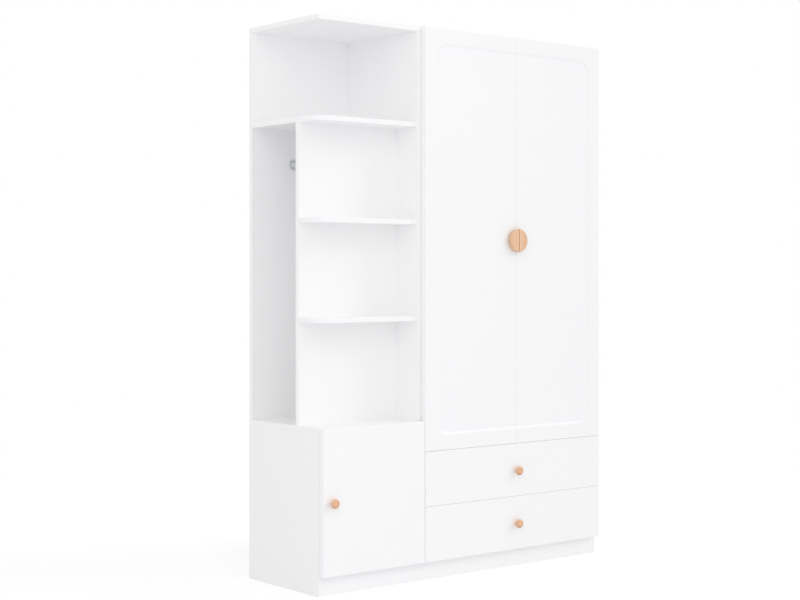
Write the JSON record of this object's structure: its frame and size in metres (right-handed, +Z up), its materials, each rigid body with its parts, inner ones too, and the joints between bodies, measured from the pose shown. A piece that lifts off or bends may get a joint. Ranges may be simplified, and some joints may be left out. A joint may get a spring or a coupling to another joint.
{
  "type": "chifforobe",
  "caption": "White wardrobe with a hinged pair of doors over drawers, joined to an open corner unit with shelves, a side hanging bay and a small cupboard.",
  "frame": {"origin": "on the floor, at the middle of the bounding box", "axes": "+Z up; the doors and drawers face -Y; the open corner unit is on the -X side"},
  "size_m": [1.22, 0.431, 1.8],
  "materials": {
    "white_board": "smooth satin white lacquer on board",
    "light_wood": "oiled light beech, fine vertical grain",
    "dowel_wood": "plain beech, dry",
    "zinc_steel": "zinc plated, semi-bright",
    "bright_metal": "chrome plated"
  },
  "bodies": {
    "carcass": {"corner_back": "white_board", "corner_counter": "white_board", "corner_deep_shelf": "white_board", "corner_floor": "white_board", "corner_lower_shelf": "white_board", "corner_partition": "white_board", "corner_plinth": "white_board", "corner_rod": "bright_metal", "corner_side_left": "white_board", "corner_side_right": "white_board", "corner_top": "white_board", "corner_upper_shelf": "white_board", "dowels": "dowel_wood", "drawer_fixed_runners": "zinc_steel", "fixing_screws": "zinc_steel", "hinge_arms": "zinc_steel", "hinge_pins": "zinc_steel", "hinge_plates": "zinc_steel", "panel_screws": "zinc_steel", "rod_sockets": "bright_metal", "unit_ties": "zinc_steel", "wardrobe_back": "white_board", "wardrobe_divider": "white_board", "wardrobe_floor": "white_board", "wardrobe_plinth": "white_board", "wardrobe_rod": "bright_metal", "wardrobe_side_left": "white_board", "wardrobe_side_right": "white_board", "wardrobe_top": "white_board"},
    "small_door": {"small_door": "white_board", "small_door_cups": "zinc_steel", "small_door_knob": "light_wood", "small_door_screw": "zinc_steel"},
    "left_door": {"left_door": "white_board", "left_door_cups": "zinc_steel", "left_door_handle": "light_wood", "left_door_screws": "zinc_steel"},
    "right_door": {"right_door": "white_board", "right_door_cups": "zinc_steel", "right_door_handle": "light_wood", "right_door_screws": "zinc_steel"},
    "upper_drawer": {"upper_drawer_back": "white_board", "upper_drawer_base": "white_board", "upper_drawer_fasteners": "zinc_steel", "upper_drawer_front": "white_board", "upper_drawer_inner_runners": "zinc_steel", "upper_drawer_knob": "light_wood", "upper_drawer_side_left": "white_board", "upper_drawer_side_right": "white_board"},
    "upper_middle_runners": {"upper_drawer_middle_runners": "zinc_steel"},
    "lower_drawer": {"lower_drawer_back": "white_board", "lower_drawer_base": "white_board", "lower_drawer_fasteners": "zinc_steel", "lower_drawer_front": "white_board", "lower_drawer_inner_runners": "zinc_steel", "lower_drawer_knob": "light_wood", "lower_drawer_side_left": "white_board", "lower_drawer_side_right": "white_board"},
    "lower_middle_runners": {"lower_drawer_middle_runners": "zinc_steel"}
  },
  "joints": [
    {"name": "small_door_hinge", "type": "hinge", "parent": "carcass", "child": "small_door", "pos_m": [-0.2079, -0.1875, 0.2905], "axis": [0, 0, 1], "range_deg": [0, 90]},
    {"name": "left_door_hinge", "type": "hinge", "parent": "carcass", "child": "left_door", "pos_m": [-0.1921, -0.1875, 1.11], "axis": [0, 0, -1], "range_deg": [0, 90]},
    {"name": "right_door_hinge", "type": "hinge", "parent": "carcass", "child": "right_door", "pos_m": [0.6021, -0.1875, 1.11], "axis": [0, 0, 1], "range_deg": [0, 90]},
    {"name": "upper_drawer_slide", "type": "slide", "parent": "carcass", "child": "upper_drawer", "axis": [0, -1, 0], "range_m": [0, 0.3]},
    {"name": "upper_middle_slide", "type": "slide", "parent": "carcass", "child": "upper_middle_runners", "axis": [0, -1, 0], "range_m": [0, 0.15]},
    {"name": "lower_drawer_slide", "type": "slide", "parent": "carcass", "child": "lower_drawer", "axis": [0, -1, 0], "range_m": [0, 0.3]},
    {"name": "lower_middle_slide", "type": "slide", "parent": "carcass", "child": "lower_middle_runners", "axis": [0, -1, 0], "range_m": [0, 0.15]}
  ],
  "couplings": [
    {"joint": "upper_middle_slide", "follows": "upper_drawer_slide", "ratio": 0.5},
    {"joint": "lower_middle_slide", "follows": "lower_drawer_slide", "ratio": 0.5}
  ]
}
